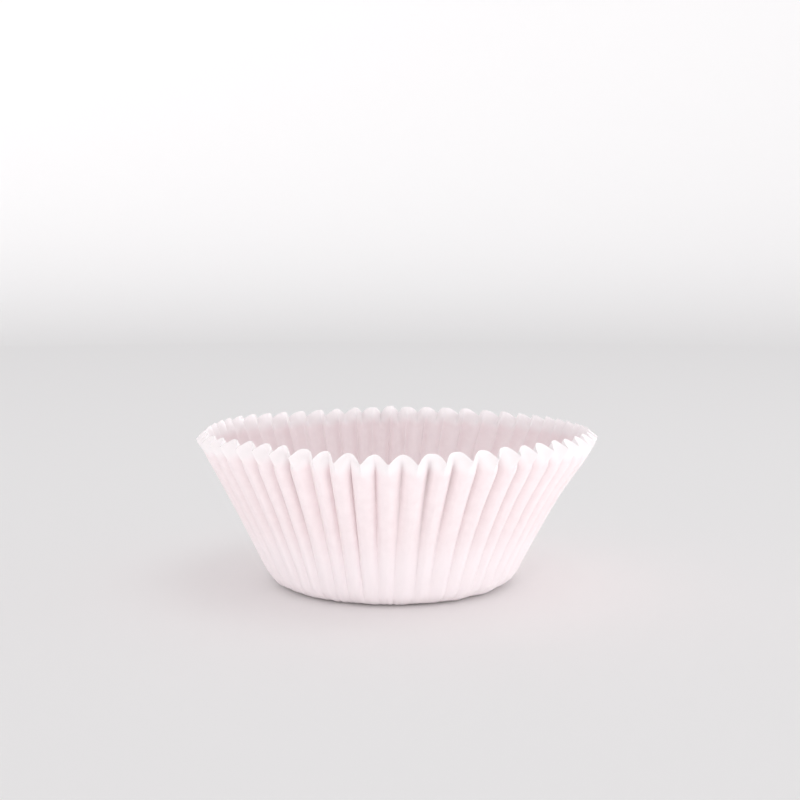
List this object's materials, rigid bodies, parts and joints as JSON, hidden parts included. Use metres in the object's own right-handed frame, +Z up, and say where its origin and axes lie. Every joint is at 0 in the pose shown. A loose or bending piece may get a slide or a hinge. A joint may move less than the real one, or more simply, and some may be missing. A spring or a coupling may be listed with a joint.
{
  "type": "cupcake liner",
  "caption": "Round paper baking cup with a flat base, a fluted wall that leans outwards and a scalloped rim.",
  "frame": {"origin": "centre of the base, on the surface that the cup stands on", "axes": "+Z up along the cup's own axis; -Y through the crest of one flute, at the front"},
  "size_m": [0.0832, 0.0832, 0.0322],
  "materials": {
    "paper": "matt, uncoated white paper"
  },
  "bodies": {
    "root": {"liner": "paper"}
  },
  "joints": []
}
